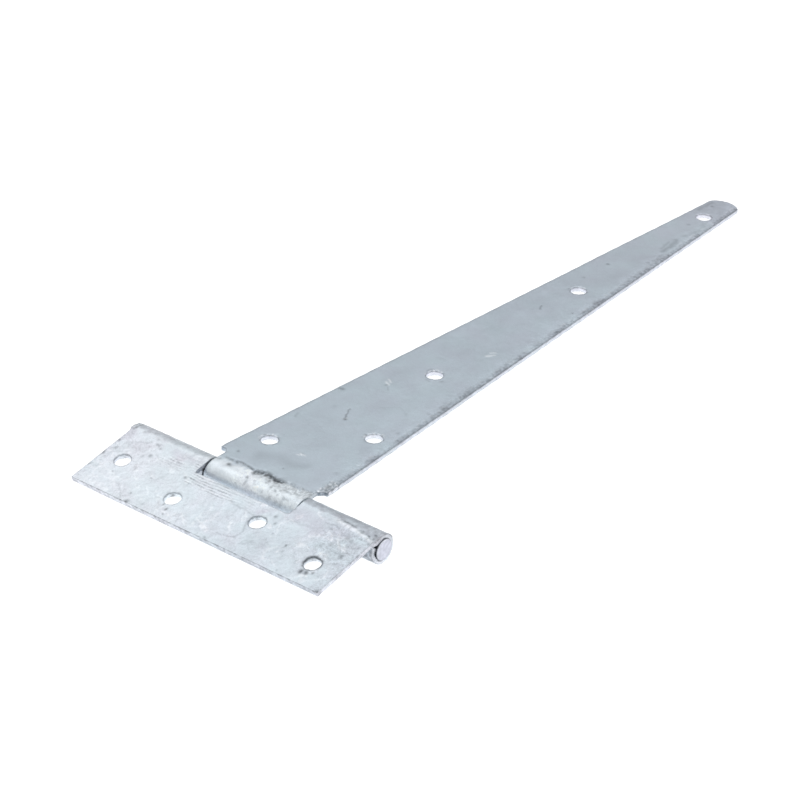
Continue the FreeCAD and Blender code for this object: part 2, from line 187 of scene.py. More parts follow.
# Bright flecks of zinc on it: line and width
leaf_flecks = [
    ([(-11.5, 51.0), (-12.6, 49.0)], 0.7),
    ([(-16.6, 41.6), (-18.6, 39.6)], 0.6),
    ([(-21.6, 36.8), (-22.4, 35.8)], 0.5),
    ([(-17.2, 33.4), (-18.2, 31.8)], 0.5),
    ([(-11.0, 29.8), (-12.2, 27.6)], 0.7),
    ([(-9.6, 38.0), (-9.2, 34.0)], 0.5),
    ([(-10.4, 23.4), (-13.6, 19.2)], 0.5),
    ([(-25.6, 22.6), (-29.0, 19.6)], 0.6),
    ([(-27.0, 21.0), (-30.6, 18.0)], 0.5),
    ([(-30.0, 14.8), (-30.6, 13.4)], 0.6),
    ([(-28.4, -1.8), (-29.8, -4.2)], 0.7),
    ([(-22.6, -8.6), (-24.8, -11.0)], 0.4),
    ([(-16.6, -36.0), (-18.6, -38.4)], 1.0),
    ([(-25.0, -32.4), (-25.8, -34.0)], 0.5),
    ([(-17.4, -46.0), (-18.6, -49.0)], 0.8),
    ([(-28.8, -49.6), (-29.6, -47.4)], 0.5),
    ([(-9.2, -46.6), (-12.4, -50.4)], 0.6),
    ([(-10.4, -50.4), (-13.4, -52.6)], 0.6),
    ([(-31.4, 50.0), (-31.6, 42.0)], 0.8),
]

# The crease where the strap rolls into its knuckle, from its near end to its far one
crease = [
    (5.5, -20.0), (4.9, -14.0), (4.7, -10.0), (4.2, -8.0), (4.0, -5.5), (4.4, -2.5),
    (4.7, 0.5), (3.4, 3.2), (4.2, 6.5), (4.7, 10.0), (4.5, 13.0), (4.4, 18.0),
]

# Scores on the strap: line, width, height and darkness
strap_scores = [
    ([(59.5, 6.8), (56.0, 4.8), (52.8, 3.3)], 0.28, -0.08, 0.60),
    ([(173.0, 2.6), (170.2, 1.3)], 0.45, -0.06, 0.55),
    ([(81.5, 6.6), (79.5, 5.0)], 0.35, -0.03, 0.24),
    ([(259.0, -4.8), (253.0, -6.2), (246.0, -6.2)], 1.3, -0.05, 0.36),
    ([(255.0, -3.4), (248.0, -4.4)], 0.8, -0.03, 0.24),
    ([(243.0, -8.2), (236.0, -8.8)], 0.9, -0.03, 0.26),
    ([(290.0, 5.0), (300.0, 4.6)], 1.2, -0.05, 0.34),
    ([(67.5, -1.0), (72.5, -7.0), (69.6, -12.0)], 0.35, -0.02, 0.10),
    ([(45.0, 19.5), (42.5, 18.0)], 0.5, -0.04, 0.22),
    ([(103.5, 2.6), (101.0, 3.2)], 0.6, -0.04, 0.34),
    ([(95.4, -0.6), (95.2, -2.6)], 0.5, -0.03, 0.26),
]

# Pits in it: place, radius, depth and darkness
strap_pits = [
    (10.2, 17.4, 0.6, 0.08, 0.55), (1.1, 13.7, 1.0, 0.16, 0.85), (1.9, 19.3, 0.8, 0.10, 0.50),
    (-0.7, 3.3, 0.6, 0.10, 0.65), (2.6, 2.0, 0.9, 0.08, 0.50), (1.8, -5.0, 0.7, 0.08, 0.50),
    (-1.0, -8.0, 0.6, 0.08, 0.50), (-1.7, -10.5, 0.7, 0.08, 0.50), (11.5, -3.1, 0.5, 0.07, 0.50),
    (21.3, -19.3, 0.7, 0.04, 0.22), (57.4, 12.0, 1.2, 0.02, 0.14), (82.5, 8.2, 0.8, 0.08, 0.45),
    (52.6, 3.2, 0.8, 0.12, 0.80), (176.0, -10.8, 0.5, 0.08, 0.65), (204.8, 4.5, 0.8, 0.03, 0.30),
    (221.0, 4.0, 0.7, 0.08, 0.60), (233.0, -8.0, 0.9, 0.05, 0.38), (297.0, 2.0, 0.8, 0.06, 0.50),
    (274.7, 0.0, 0.8, 0.04, 0.34), (69.6, 18.9, 1.2, 0.10, 0.55), (49.0, -9.9, 0.7, 0.10, 0.55),
    (46.5, -10.2, 0.6, 0.04, 0.34), (57.0, -18.6, 0.9, 0.04, 0.30), (75.5, -18.2, 0.8, 0.04, 0.26),
    (52.8, -21.6, 1.0, 0.10, 0.55), (25.0, 17.6, 0.7, 0.08, 0.50), (70.2, -11.6, 0.8, 0.03, 0.18),
    (192.5, 2.7, 0.7, 0.06, 0.40), (146.0, -12.0, 1.4, 0.03, 0.10), (98.0, -6.2, 0.7, 0.04, 0.30),
    (9.6, -24.2, 1.3, 0.12, 0.66), (12.0, -23.8, 1.6, 0.06, 0.60), (14.6, -23.9, 1.3, 0.05, 0.50),
    (4.2, -22.0, 1.0, 0.10, 0.60), (9.4, 24.0, 0.9, 0.10, 0.45),
    (285.0, -7.0, 1.4, 0.03, 0.20), (124.5, -16.6, 0.9, 0.05, 0.40), (161.0, -15.4, 0.8, 0.06, 0.40),
]

# Faint blots on it: line, width and darkness
strap_blots = [
    ([(12.0, 8.5), (15.5, 3.0), (17.6, -7.5)], 3.0, 0.17),
    ([(27.0, 4.0), (34.0, -4.0)], 3.0, 0.05),
    ([(40.0, -17.0), (52.0, -8.0)], 3.0, 0.05),
    ([(80.0, 9.0), (98.0, 6.0)], 4.0, 0.05),
    ([(128.0, -8.0), (140.0, -10.0)], 3.0, 0.05),
    ([(170.0, 3.0), (186.0, 6.0)], 3.0, 0.05),
    ([(215.0, -4.0), (240.0, -6.0)], 2.5, 0.06),
    ([(262.0, -6.6), (278.0, -5.6)], 1.2, 0.16),
    ([(288.0, -6.0), (297.0, -4.6)], 1.5, 0.14),
]

# Bright scratches and scuffs on it: line and width
strap_scratches = [
    ([(21.6, -0.2), (22.8, -1.8), (23.2, -3.4)], 0.35),
    ([(23.4, -0.6), (23.0, -2.2)], 0.30),
    ([(83.0, 7.4), (84.2, 9.6)], 0.45),
    ([(85.0, 8.0), (86.2, 10.4)], 0.40),
    ([(52.4, 3.8), (53.4, 2.6)], 0.30),
    ([(125.0, -6.5), (127.5, -8.8)], 0.45),
    ([(128.0, -6.2), (129.4, -8.0)], 0.35),
    ([(46.4, -12.4), (48.0, -11.0)], 0.35),
]

# How far the photograph's view is turned from the strap's length
view_heading = math.radians(39.326)

# How finely the zinc skin is meshed, in metres
leaf_grain = 0.38 * MM
strap_grain = 0.53 * MM
pin_grain = 0.28 * MM

# Colours of the zinc: in full shine, where it is stained and where shade is painted, and its violet cast
pale_zinc = (0.86, 0.925, 0.975)
stained_and_shaded_zinc = (0.10, 0.112, 0.125)
violet_zinc = (0.98, 0.925, 0.955)


def deselect():
    bpy.ops.object.select_all(action="DESELECT")


def settle(piece):
    """Puts the piece's place, turn and scale into its mesh."""
    deselect()
    piece.select_set(True)
    bpy.context.view_layer.objects.active = piece
    bpy.ops.object.transform_apply(location=True, rotation=True, scale=True)


def add_block(name, low, high):
    """A block between two corners."""
    low, high = Vector(low), Vector(high)
    deselect()
    bpy.ops.mesh.primitive_cube_add(size=1.0, location=(low + high) / 2)
    block = bpy.context.object
    block.name = block.data.name = name
    block.scale = high - low
    settle(block)
    return block


def add_rod(name, radius, length, place, along_pin=False, sides=96):
    """A round rod, upright or along the pin."""
    deselect()
    turn = (math.pi / 2, 0, 0) if along_pin else (0, 0, 0)
    bpy.ops.mesh.primitive_cylinder_add(
        vertices=sides, radius=radius, depth=length, location=place, rotation=turn)
    rod = bpy.context.object
    rod.name = rod.data.name = name
    settle(rod)
    return rod


def edit_faces(piece, wanted):
    """Opens the piece in edit mode with only the wanted faces selected."""
    bpy.context.view_layer.objects.active = piece
    bpy.ops.object.mode_set(mode="EDIT")
    bpy.ops.mesh.select_mode(type="FACE")
    bpy.ops.mesh.select_all(action="DESELECT")
    bpy.ops.object.mode_set(mode="OBJECT")
    for face in piece.data.polygons:
        face.select = wanted(face)
    bpy.ops.object.mode_set(mode="EDIT")


def leave_edit():
    bpy.ops.object.mode_set(mode="OBJECT")


def finish_with(piece, kind, **settings):
    """Adds a modifier and applies it."""
    deselect()
    piece.select_set(True)
    bpy.context.view_layer.objects.active = piece
    modifier = piece.modifiers.new(kind.lower(), kind)
    for name, value in settings.items():
        setattr(modifier, name, value)
    bpy.ops.object.modifier_apply(modifier=modifier.name)


def cut_away(piece, cutter):
    """Cuts one shape out of the piece and throws the cutter away."""
    finish_with(piece, "BOOLEAN", operation="DIFFERENCE", solver="EXACT", object=cutter)
    bpy.data.objects.remove(cutter)


def punch_holes(piece, places):
    """Punches the screw holes through the sheet."""
    punch_length = 30 * MM
    for across, along in places:
        cut_away(piece, add_rod("punch", hole_radius, punch_length, (across, along, 0)))


def roll_round_pin(piece, way, inner, outer, middle):
    """Rolls the sheet's end into a knuckle of that inner and outer radius, backwards or forwards, and
    leaves a narrow seam underneath."""
    turn = 2 * math.pi - math.acos((inner + middle.z - seam_gap) / outer)
    edit_faces(piece, lambda face: face.normal.x * way > squarely)
    bpy.ops.mesh.spin(steps=roll_steps, angle=-way * turn, center=middle, axis=(0, 1, 0))
    bpy.ops.mesh.select_all(action="SELECT")
    bpy.ops.mesh.remove_doubles(threshold=close_by)
    bpy.ops.mesh.normals_make_consistent(inside=False)
    leave_edit()


def join(pieces):
    """Joins pieces into the first."""
    deselect()
    for piece in pieces:
        piece.select_set(True)
    bpy.context.view_layer.objects.active = pieces[0]
    bpy.ops.object.join()
    return pieces[0]


def dip_in_zinc(piece, grain, softness):
    """Wraps the piece in one even skin, lays it on the steel and softens its edges, as zinc does."""
    steel = piece.copy()
    steel.data = piece.data.copy()
    bpy.context.scene.collection.objects.link(steel)
    finish_with(piece, "REMESH", mode="VOXEL", voxel_size=grain, use_smooth_shade=True)
    finish_with(piece, "SHRINKWRAP", target=steel, wrap_method="NEAREST_SURFACEPOINT")
    finish_with(piece, "SMOOTH", factor=softness, iterations=1)
    bpy.data.objects.remove(steel)


def form_leaf():
    """Oblong sheet, its back edge rolled into a knuckle on each side of a slot."""
    middle = Vector((-leaf_roll_shift, 0, leaf_roll_shift))
    leaf = add_block(
        "galvanised_leaf", (-leaf_reach, -leaf_half, leaf_under), (middle.x, leaf_half, leaf_top))
    roll_round_pin(leaf, 1, leaf_roll_inner, leaf_roll_outer, middle)
    past_barrel = 12 * MM
    slot = add_block(
        "slot_punch", (slot_front, slot_near, -past_barrel), (past_barrel, slot_far, past_barrel))
    edit_faces(slot, lambda face: face.normal.x < -squarely)
    bpy.ops.mesh.select_mode(type="EDGE")
    leave_edit()
    for edge in slot.data.edges:
        start, end = [slot.data.vertices[number].co for number in edge.vertices]
        on_front = max(start.x, end.x) < slot_front + close_by
        edge.select = on_front and abs(start.y - end.y) < close_by
    bpy.ops.object.mode_set(mode="EDIT")
    bpy.ops.mesh.bevel(offset=slot_corner, segments=6)
    leave_edit()
    cut_away(leaf, slot)
    punch_holes(leaf, leaf_holes)
    dip_in_zinc(leaf, leaf_grain, softness=0.5)
    skin_leaf(leaf)
    return leaf


def form_strap():
    """Tapered blade with a rounded tip; its narrower neck is rolled into the middle knuckle."""
    blade = add_block(
        "galvanised_strap", (shoulder, strap_middle - root_half, strap_under),
        (tip_corner, strap_middle + root_half, strap_top))
    edit_faces(blade, lambda face: face.normal.x > squarely)
    bpy.ops.transform.resize(
        value=(1, tip_half / root_half, 1), center_override=(tip_corner, strap_middle, strap_under))
    leave_edit()
    punch_holes(blade, strap_holes)

    neck_overlap = 2 * MM
    tip_overlap = 0.2 * MM
    neck = add_block(
        "neck", (0, neck_near, strap_under), (shoulder + neck_overlap, neck_far, strap_top))
    roll_round_pin(neck, -1, strap_roll_inner, strap_roll_outer, Vector((0, 0, 0)))

    fillets = []
    for side in (neck_near, neck_far):
        fillet = add_block(
            "corner_zinc", (shoulder - corner_fill, side - corner_fill, strap_under),
            (shoulder + corner_fill, side + corner_fill, strap_top))
        edit_faces(fillet, lambda face: True)
        bpy.ops.transform.rotate(
            value=math.pi / 4, orient_axis="Z", center_override=(shoulder, side, 0))
        leave_edit()
        fillets.append(fillet)

    tip = add_rod(
        "tip", tip_radius, sheet_thickness,
        (strap_tip - tip_radius, strap_middle, strap_under + sheet_thickness / 2))
    edit_faces(tip, lambda face: True)
    bpy.ops.mesh.bisect(
        plane_co=(tip_corner - tip_overlap, 0, 0), plane_no=(1, 0, 0), use_fill=True, clear_inner=True)
    leave_edit()

    strap = join([blade, neck, tip, *fillets])
    dip_in_zinc(strap, strap_grain, softness=0.5)
    skin_strap(strap)
    return strap


def form_pin():
    """Round rod, its two ends hammered a little wider where they stand out of the barrel."""
    pin = add_rod("galvanised_pin", pin_radius, pin_length - pin_head_length, (0, 0, 0), along_pin=True)
    head_chamfer = 0.2 * MM
    heads = []
    for way in (-1, 1):
        middle = (0, way * (pin_length - pin_head_length) / 2, 0)
        head = add_rod("pin_head", pin_head_radius, pin_head_length, middle, along_pin=True)
        edit_faces(head, lambda face: face.normal.y * way > squarely)
        bpy.ops.mesh.bevel(offset=head_chamfer, segments=2)
        leave_edit()
        heads.append(head)
    join([pin, *heads])
    dip_in_zinc(pin, pin_grain, softness=0.3)
    skin_pin(pin)
    return pin


def clamp(values):
    """The values, held between 0 and 1."""
    return np.clip(values, 0, 1)


def cloud(places, lump, seed):
    """Smooth noise from -1 to 1 at each place, in lumps of about that many millimetres."""
    far_apart, strength = 17.3, 2.0
    moved = places / lump + seed * far_apart
    return np.clip(strength * np.array([noise.noise(place) for place in moved.tolist()]), -1, 1)


def ramp_up(values, low, high):
    """0 below the low value, 1 above the high one, and smooth between them."""
    part = clamp((values - low) / (high - low))
    return part * part * (3 - 2 * part)


def between(values, low, high, soft):
    """1 between two values, fading to 0 outside them."""
    return ramp_up(values, low - soft, low) * (1 - ramp_up(values, high, high + soft))


def hump(values, width):
    """1 where the values are 0, falling away smoothly on both sides."""
    return np.exp(-(values / width) ** 2)


def near_line(flat, points, width):
    """How near each place is to a line through the points: 1 on the line."""
    nearest = np.full(len(flat), np.inf)
    for start, end in zip(points, points[1:]):
        start, run = np.array(start), np.array(end) - np.array(start)
        part = clamp((flat - start) @ run / (run @ run))
        nearest = np.minimum(nearest, np.linalg.norm(flat - start - part[:, None] * run, axis=1))
    return hump(nearest, width)


def near_spot(flat, spot, radius):
    """How near each place is to a spot: 1 at its middle."""
    return hump(np.linalg.norm(flat - np.array(spot), axis=1), radius)


def near_ring(flat, middle, radius, width):
    """How near each place is to a ring: 1 on the ring."""
    return hump(np.linalg.norm(flat - np.array(middle), axis=1) - radius, width)


class Skin:
    """The zinc on one piece, point by point: how high it stands, and how stained and painted with shade,
    crusted, bright and violet it is. Places and heights are in millimetres, with the piece level and the
    pin's middle at 0, 0, 0. The clouds are the piece's own noises, each with its lump and seed."""

    def __init__(self, piece, **clouds):
        self.mesh = piece.data
        count = len(self.mesh.vertices)
        places, normals = np.empty(count * 3), np.empty(count * 3)
        self.mesh.vertices.foreach_get("co", places)
        self.mesh.vertex_normals.foreach_get("vector", normals)
        self.places = places.reshape(-1, 3) / MM
        self.normals = normals.reshape(-1, 3)
        self.flat = self.places[:, :2]
        self.face_up = ramp_up(self.normals[:, 2], 0.3, 0.7)
        self.side_on = ramp_up(1 - np.abs(self.normals[:, 2]), 0.25, 0.8)
        off_square = 1 - np.abs(self.normals).max(axis=1)
        self.edge = clamp(3.5 * off_square)
        self.height = np.zeros(count)
        self.stain_and_shade = np.zeros(count)
        self.crust = np.zeros(count)
        self.gleam = np.zeros(count)
        self.violet = np.zeros(count)
        for name, (lump, seed) in clouds.items():
            setattr(self, name, cloud(self.places, lump, seed))

    def wander(self, lump, reach, seed):
        """The flat places, shifted a little here and there, so that lines on them waver."""
        shift = [cloud(self.places, lump, seed), cloud(self.places, lump, seed + 1)]
        return self.flat + reach * np.stack(shift, axis=1)

    def hole_wall(self, middle):
        """The wall of the screw hole with that middle."""
        inside = np.linalg.norm(self.flat - np.array(middle), axis=1) < rim_radius
        return inside * (1 - self.face_up)

    def pit(self, flat, spots):
        """Small dark pits in the top face: place, radius, depth and darkness."""
        for across, along, radius, depth, dark in spots:
            weight = near_spot(flat, (across, along), radius) * self.face_up
            self.height -= depth * weight
            self.darken(weight * dark)

    def score(self, flat, lines):
        """Marks along lines in the top face: points, width, height and darkness."""
        for points, width, height, dark in lines:
            weight = near_line(flat, points, width) * self.face_up
            self.height += height * weight
            self.darken(weight * dark)

    def darken(self, amount):
        """Stains the skin and paints shade on it, where it isn't already as dark."""
        self.stain_and_shade = np.maximum(self.stain_and_shade, amount)

    def set(self):
        """Moves the mesh's points to the skin's height and keeps the rest as paint."""
        moved = self.places + self.normals * self.height[:, None]
        self.mesh.vertices.foreach_set("co", (moved * MM).ravel())
        paints = {"stain_and_shade": self.stain_and_shade, "crust": self.crust, "gleam": self.gleam, "violet": self.violet}
        for name, values in paints.items():
            paint = self.mesh.attributes.new(name, "FLOAT", "POINT")
            paint.data.foreach_set("value", clamp(values))
        self.mesh.update()


def skin_leaf(leaf):
    """Zinc of the cross leaf, from its even ground to its marks, holes, edges and knuckles."""
    skin = Skin(leaf, swell=(7.0, 3), ripple=(2.2, 4), lump=(1.2, 6), fine=(0.7, 5))
    across, up = skin.places[:, 0], skin.places[:, 2]
    skin.on_sheet = 1 - ramp_up(across, -2.0, 1.0)
    skin.side_on *= skin.on_sheet
    roll_middle = 0.1
    skin.from_roll = np.hypot(across + roll_middle, up - roll_middle)
    ground_leaf(skin)
    run_zinc_by_slot(skin)
    turn_over_barrel(skin)
    mark_leaf(skin)
    roughen_leaf_ends(skin)
    rim_leaf_holes(skin)
    drop_zinc_on_far_end(skin)
    wear_leaf_edges(skin)
    shade_slot(skin)
    shade_near_knuckle(skin)
    skin.set()


def ground_leaf(skin):
    """The leaf's even zinc: swells, bright wisps, dull veins and a violet cast."""
    along = skin.places[:, 1]
    broad = cloud(skin.places, 16.0, 2)
    skin.height += 0.05 * broad + 0.02 * skin.swell + 0.02 * skin.ripple + 0.012 * skin.lump
    wisps = clamp(1 - 5 * np.abs(cloud(skin.places + 1.2 * skin.ripple[:, None], 6.0, 8)))
    wisps *= clamp(0.5 + 1.2 * cloud(skin.places, 9.0, 9)) * skin.face_up
    skin.gleam += 0.66 * ramp_up(along, -30.0, 50.0) + 0.16 * skin.swell + 0.9 * wisps
    skin.height += 0.035 * wisps
    dull_veins = clamp(1 - 8 * np.abs(cloud(skin.places + 0.8 * skin.ripple[:, None], 7.0, 10)))
    here_and_there = clamp(cloud(skin.places, 10.0, 12) + 0.2)
    skin.darken(0.13 * dull_veins * here_and_there * skin.face_up)
    skin.violet += 0.22 + 0.22 * skin.swell + 0.15 * skin.ripple + 0.3 * ramp_up(along, 30.0, 50.0)


def run_zinc_by_slot(skin):
    """Runs of zinc in front of the slot, and fainter ones beside its far end."""
    across, along = skin.flat.T
    run_pitch = 1.25
    first_run = -9.2
    steady = across + 0.35 * skin.swell + 0.12 * skin.ripple + 0.04 * (along - 5.0)
    lane = np.cos(2 * math.pi * (steady - first_run) / run_pitch) + 0.45 * skin.fine
    ahead = between(across, -13.8, -8.6, 0.6) * between(along, -9.0, 19.5, 2.5)
    ahead *= 0.30 + 0.70 * ramp_up(along, -6.0, 5.0)
    beside = between(across, -10.2, -4.2, 0.8) * between(along, 22.0, 36.0, 3.0)
    beside *= 0.9 * clamp(0.6 + 0.8 * skin.swell)
    broken = np.clip(0.75 + 0.7 * cloud(skin.places * (1, 0.3, 1), 1.2, 7), 0, 1.2)
    runs = (ahead + beside) * skin.face_up * broken
    skin.height += 0.08 * runs * lane
    # Painted shade in the runs' hollows and painted highlights on their crests
    skin.darken(0.42 * runs * clamp(-lane - 0.1))
    skin.gleam += 1.4 * runs * clamp(lane - 0.1)


def turn_over_barrel(skin):
    """Where the leaf turns over into its knuckles: painted shade past its lip, where the barrel turns
    away from the light, a painted highlight along the far knuckle, and a ridge along the near one, with a
    painted highlight on it and painted shade behind it."""
    across, along, up = skin.places.T
    lip = np.interp(along, [-58.2, -55.6, -50.3, -45.4, -41.5, -36.0, -24.0, 20.0, 58.0],
                    [-3.4, -2.9, -1.9, -1.2, -0.8, -0.4, -0.6, -0.9, -0.5])
    lip_softness = 0.1 + 0.8 * ramp_up(along, 10.0, 22.0)
    wavy = across + 0.4 * skin.ripple + 0.2 * skin.fine
    past_lip = ramp_up(wavy, lip - lip_softness, lip + 0.5 + lip_softness) * ramp_up(up, -2.0, 2.0)
    # Painted shade on the barrel past the lip, where it turns away from the light
    skin.darken(past_lip * (0.24 + 0.08 * skin.ripple + 0.06 * skin.lump))
    skin.violet += 0.30 * past_lip * ramp_up(-along, 20.0, 30.0)

    near_end = (1 - ramp_up(along, -43.0, -36.0)) * skin.face_up
    ridge = hump(across - lip + 0.8 + 0.3 * skin.lump, 0.75) * near_end
    skin.height += 0.30 * ridge * (0.7 + 0.5 * skin.lump)
    # Painted highlight along the ridge
    skin.gleam += 1.1 * ridge
    behind_ridge = hump(across - lip - 0.5, 0.5) * near_end
    # Painted shade behind the ridge
    skin.darken(behind_ridge * np.clip(0.42 + 0.35 * skin.lump, 0, 0.8))
    ridge_foot = hump(across - lip + 2.3, 0.5) * (1 - ramp_up(along, -50.0, -44.0)) * skin.face_up
    skin.darken(ridge_foot * np.clip(0.15 + 0.25 * skin.lump, 0, 0.5))
    far_knuckle = ramp_up(along, 20.0, 24.0) * skin.face_up
    bright_line = hump(across + 0.8 + 0.25 * skin.ripple, 0.5) * far_knuckle
    # Painted highlight along the top of the far knuckle
    skin.gleam += 0.5 * bright_line * (0.5 + 0.5 * skin.lump)


def mark_leaf(skin):
    """Scores, pits, tinted patches and bright flecks, where the photograph shows them."""
    loose = skin.wander(3.0, 0.45, 1)
    skin.score(loose, leaf_scores)
    skin.pit(loose, leaf_pits)
    blurred = skin.flat + 1.2 * skin.swell[:, None] + 0.4 * skin.ripple[:, None]
    for points, width, dark, violet in leaf_tints:
        patch = near_line(blurred, points, width) * skin.face_up
        skin.darken(dark * patch)
        skin.violet += violet * patch
    for points, width in leaf_flecks:
        fleck = near_line(loose, points, width) * skin.face_up * clamp(0.7 + 0.7 * skin.lump)
        skin.height += 0.06 * fleck
        skin.gleam += 1.2 * fleck


def roughen_leaf_ends(skin):
    """Crust all over, thicker toward both ends and on a patch by the near knuckle."""
    across, along = skin.flat.T
    rough_end = ramp_up(np.abs(along), 51.5, 57.0) * skin.on_sheet
    rough_patch = between(across, -18.0, -5.0, 2.5) * between(along, -56.0, -42.0, 4.0)
    skin.crust += 0.30 + 0.50 * rough_end + 0.90 * rough_patch + 0.2 * skin.swell
    skin.height += skin.crust * (0.03 * skin.ripple + 0.03 * skin.lump + 0.015 * skin.fine)


def rim_leaf_holes(skin):
    """Beads of zinc round the screw holes, and their walls, with painted shade at the top and painted
    light below it. The rims of the two far holes fade toward the front and the near end, and the nearest
    hole is crusted."""
    across, along, up = skin.places.T
    below_top = leaf_top / MM - up + 0.3 * skin.lump
    for number, (hole_across, hole_along) in enumerate(leaf_holes):
        middle = (hole_across / MM, hole_along / MM)
        fading, crusted = number < 2, number == 3
        width, dark, lift = (0.55, 0.85, 0.16) if crusted else (0.42, 0.50, 0.08)
        wall_shade, wall_shade_to = (0.85, 1.3) if crusted else (0.42, 0.9)
        rim = near_ring(skin.flat, middle, rim_radius, width)
        skin.height += lift * rim * (0.4 + 0.7 * skin.lump) * skin.face_up
        if fading:
            back_and_far = 0.15 * (along - middle[1]) + 0.10 * (across - middle[0])
            rim *= np.clip(0.35 + back_and_far, 0.05, 1)
        skin.darken(rim * dark * clamp(0.70 + 0.45 * skin.lump) * skin.face_up)
        wall = skin.hole_wall(middle)
        upper = 1 - ramp_up(below_top, 0.35, wall_shade_to)
        # Painted shade on the upper part of each hole wall, painted light on the part below
        skin.darken(wall_shade * wall * upper)
        skin.gleam += wall * (1 - upper)
        skin.side_on *= 1 - wall


def drop_zinc_on_far_end(skin):
    """A drop of zinc on the far end of the barrel, with a dark root."""
    on_top = ramp_up(skin.places[:, 2], 1.0, 4.0)
    drop = near_spot(skin.flat, (0.0, 58.0), 2.4) * on_top * ramp_up(skin.normals[:, 1], 0.1, 0.6)
    skin.height += drop * (0.65 + 0.25 * skin.lump)
    root = near_line(skin.flat, [(-1.5, 57.0), (2.5, 56.4)], 0.7) * on_top
    skin.darken(root * clamp(0.6 + 0.3 * skin.lump))


def wear_leaf_edges(skin):
    """Worn, dark edges of the flat sheet, and its side faces, brighter at the near end."""
    across, along = skin.flat.T
    by_slot_end = between(along, 19.8, 22.6, 0.3) * ramp_up(across, -7.5, -6.0)
    worn = skin.edge * skin.on_sheet * (1 - by_slot_end)
    skin.height -= worn * (0.05 + 0.06 * skin.ripple + 0.07 * skin.lump)
    skin.darken(worn * clamp(0.48 + 0.14 * skin.ripple + 0.18 * skin.lump))
    at_near_end = ramp_up(-along, 56.5, 57.3)
    dull = clamp(0.20 - 0.14 * at_near_end + 0.12 * skin.ripple + 0.16 * skin.lump)
    skin.darken(skin.side_on * dull)
    skin.violet += 0.5 * skin.side_on
    skin.gleam += 0.6 * skin.side_on * at_near_end


def shade_slot(skin):
    """Painted shade on the slot's front wall, its far end beside the neck, and the corner between them,
    with painted light on the far end's part next to the barrel.
    """
    across, along = skin.flat.T
    front_wall = ramp_up(across, -9.5, -8.5) * (across < -6.5) * ramp_up(skin.normals[:, 0], 0.4, 0.8)
    skin.darken(0.20 * front_wall * between(along, -20.0, 17.5, 0.5))
    far_wall = between(along, 19.0, 22.2, 0.4) * between(across, -9.0, 6.0, 0.3) * (1 - skin.face_up)
    beside_neck = (1 - ramp_up(skin.from_roll, 5.4, 6.6)) * ramp_up(-across, 0.0, 3.0)
    shade = clamp(0.16 + 0.30 * beside_neck + 0.30 * skin.lump)
    skin.darken(far_wall * shade * ramp_up(-across, 2.5, 5.0))
    skin.gleam += 0.8 * far_wall * (1 - ramp_up(-across, 3.5, 5.0))
    # Painted shadow in the slot's corner, where the floor would show through the gap
    corner = between(along, 18.0, 22.0, 0.3) * between(across, -8.2, -5.5, 0.3) * (1 - skin.face_up)
    skin.darken(corner * clamp(0.42 + 0.25 * skin.lump))


def shade_near_knuckle(skin):
    """Painted shade inside the knuckles and on the near one's front under the sheet, and that knuckle's
    end face, which stands a little further out, with painted shade in the gap round the pin."""
    across, along, up = skin.places.T
    # Painted shade inside the knuckles' bore
    skin.darken(0.8 * (1 - ramp_up(skin.from_roll, 3.70, 3.9)))
    on_barrel = skin.from_roll < 6.2
    # Painted shade on the barrel's front in the crotch under the sheet
    under_sheet = ramp_up(-across, 2.0, 4.5) * between(up, -3.5, 3.4, 1.0) * on_barrel
    under_sheet *= ramp_up(-skin.normals[:, 0], 0.3, 0.8) * ramp_up(-along, 44.0, 50.0)
    skin.darken(under_sheet * clamp(0.42 + 0.03 * up + 0.20 * skin.lump))
    end_face = ramp_up(-skin.normals[:, 1], 0.45, 0.9) * (along < -57.0) * on_barrel
    end_face *= ramp_up(across, -4.5, -3.0)
    skin.height += end_face * (0.55 + 0.05 * skin.lump)
    skin.gleam += 0.6 * end_face
    # Painted shade in the gap round the pin
    gap = end_face * (1 - ramp_up(skin.from_roll, 4.35, 4.75)) * ramp_up(-across, 0.5, 3.0)
    skin.darken(0.70 * gap)


def skin_strap(strap):
    """Zinc of the strap, from its crusted knuckle to its smooth blade with rough edges."""
    skin = Skin(strap, swell=(9.0, 18), ripple=(2.0, 14), lump=(1.1, 16), speckle=(0.9, 20))
    skin.loose = skin.wander(2.4, 0.35, 11)
    skin.on_blade = ramp_up(skin.places[:, 0], 8.0, 10.0)
    skin.side_on *= skin.on_blade
    skin.scabbed = between(skin.places[:, 1], -21.0, 6.0, 4.0)
    skin.height += 0.04 * cloud(skin.places, 22.0, 13) + 0.006 * skin.ripple
    crease_line, roll_top = crease_knuckle(skin)
    crumble_near_shoulder(skin)
    brighten_knuckle(skin, crease_line, roll_top)
    wear_blade_edges(skin)
    mark_strap(skin)
    rim_strap_holes(skin)
    shade_strap_root(skin)
    skin.set()


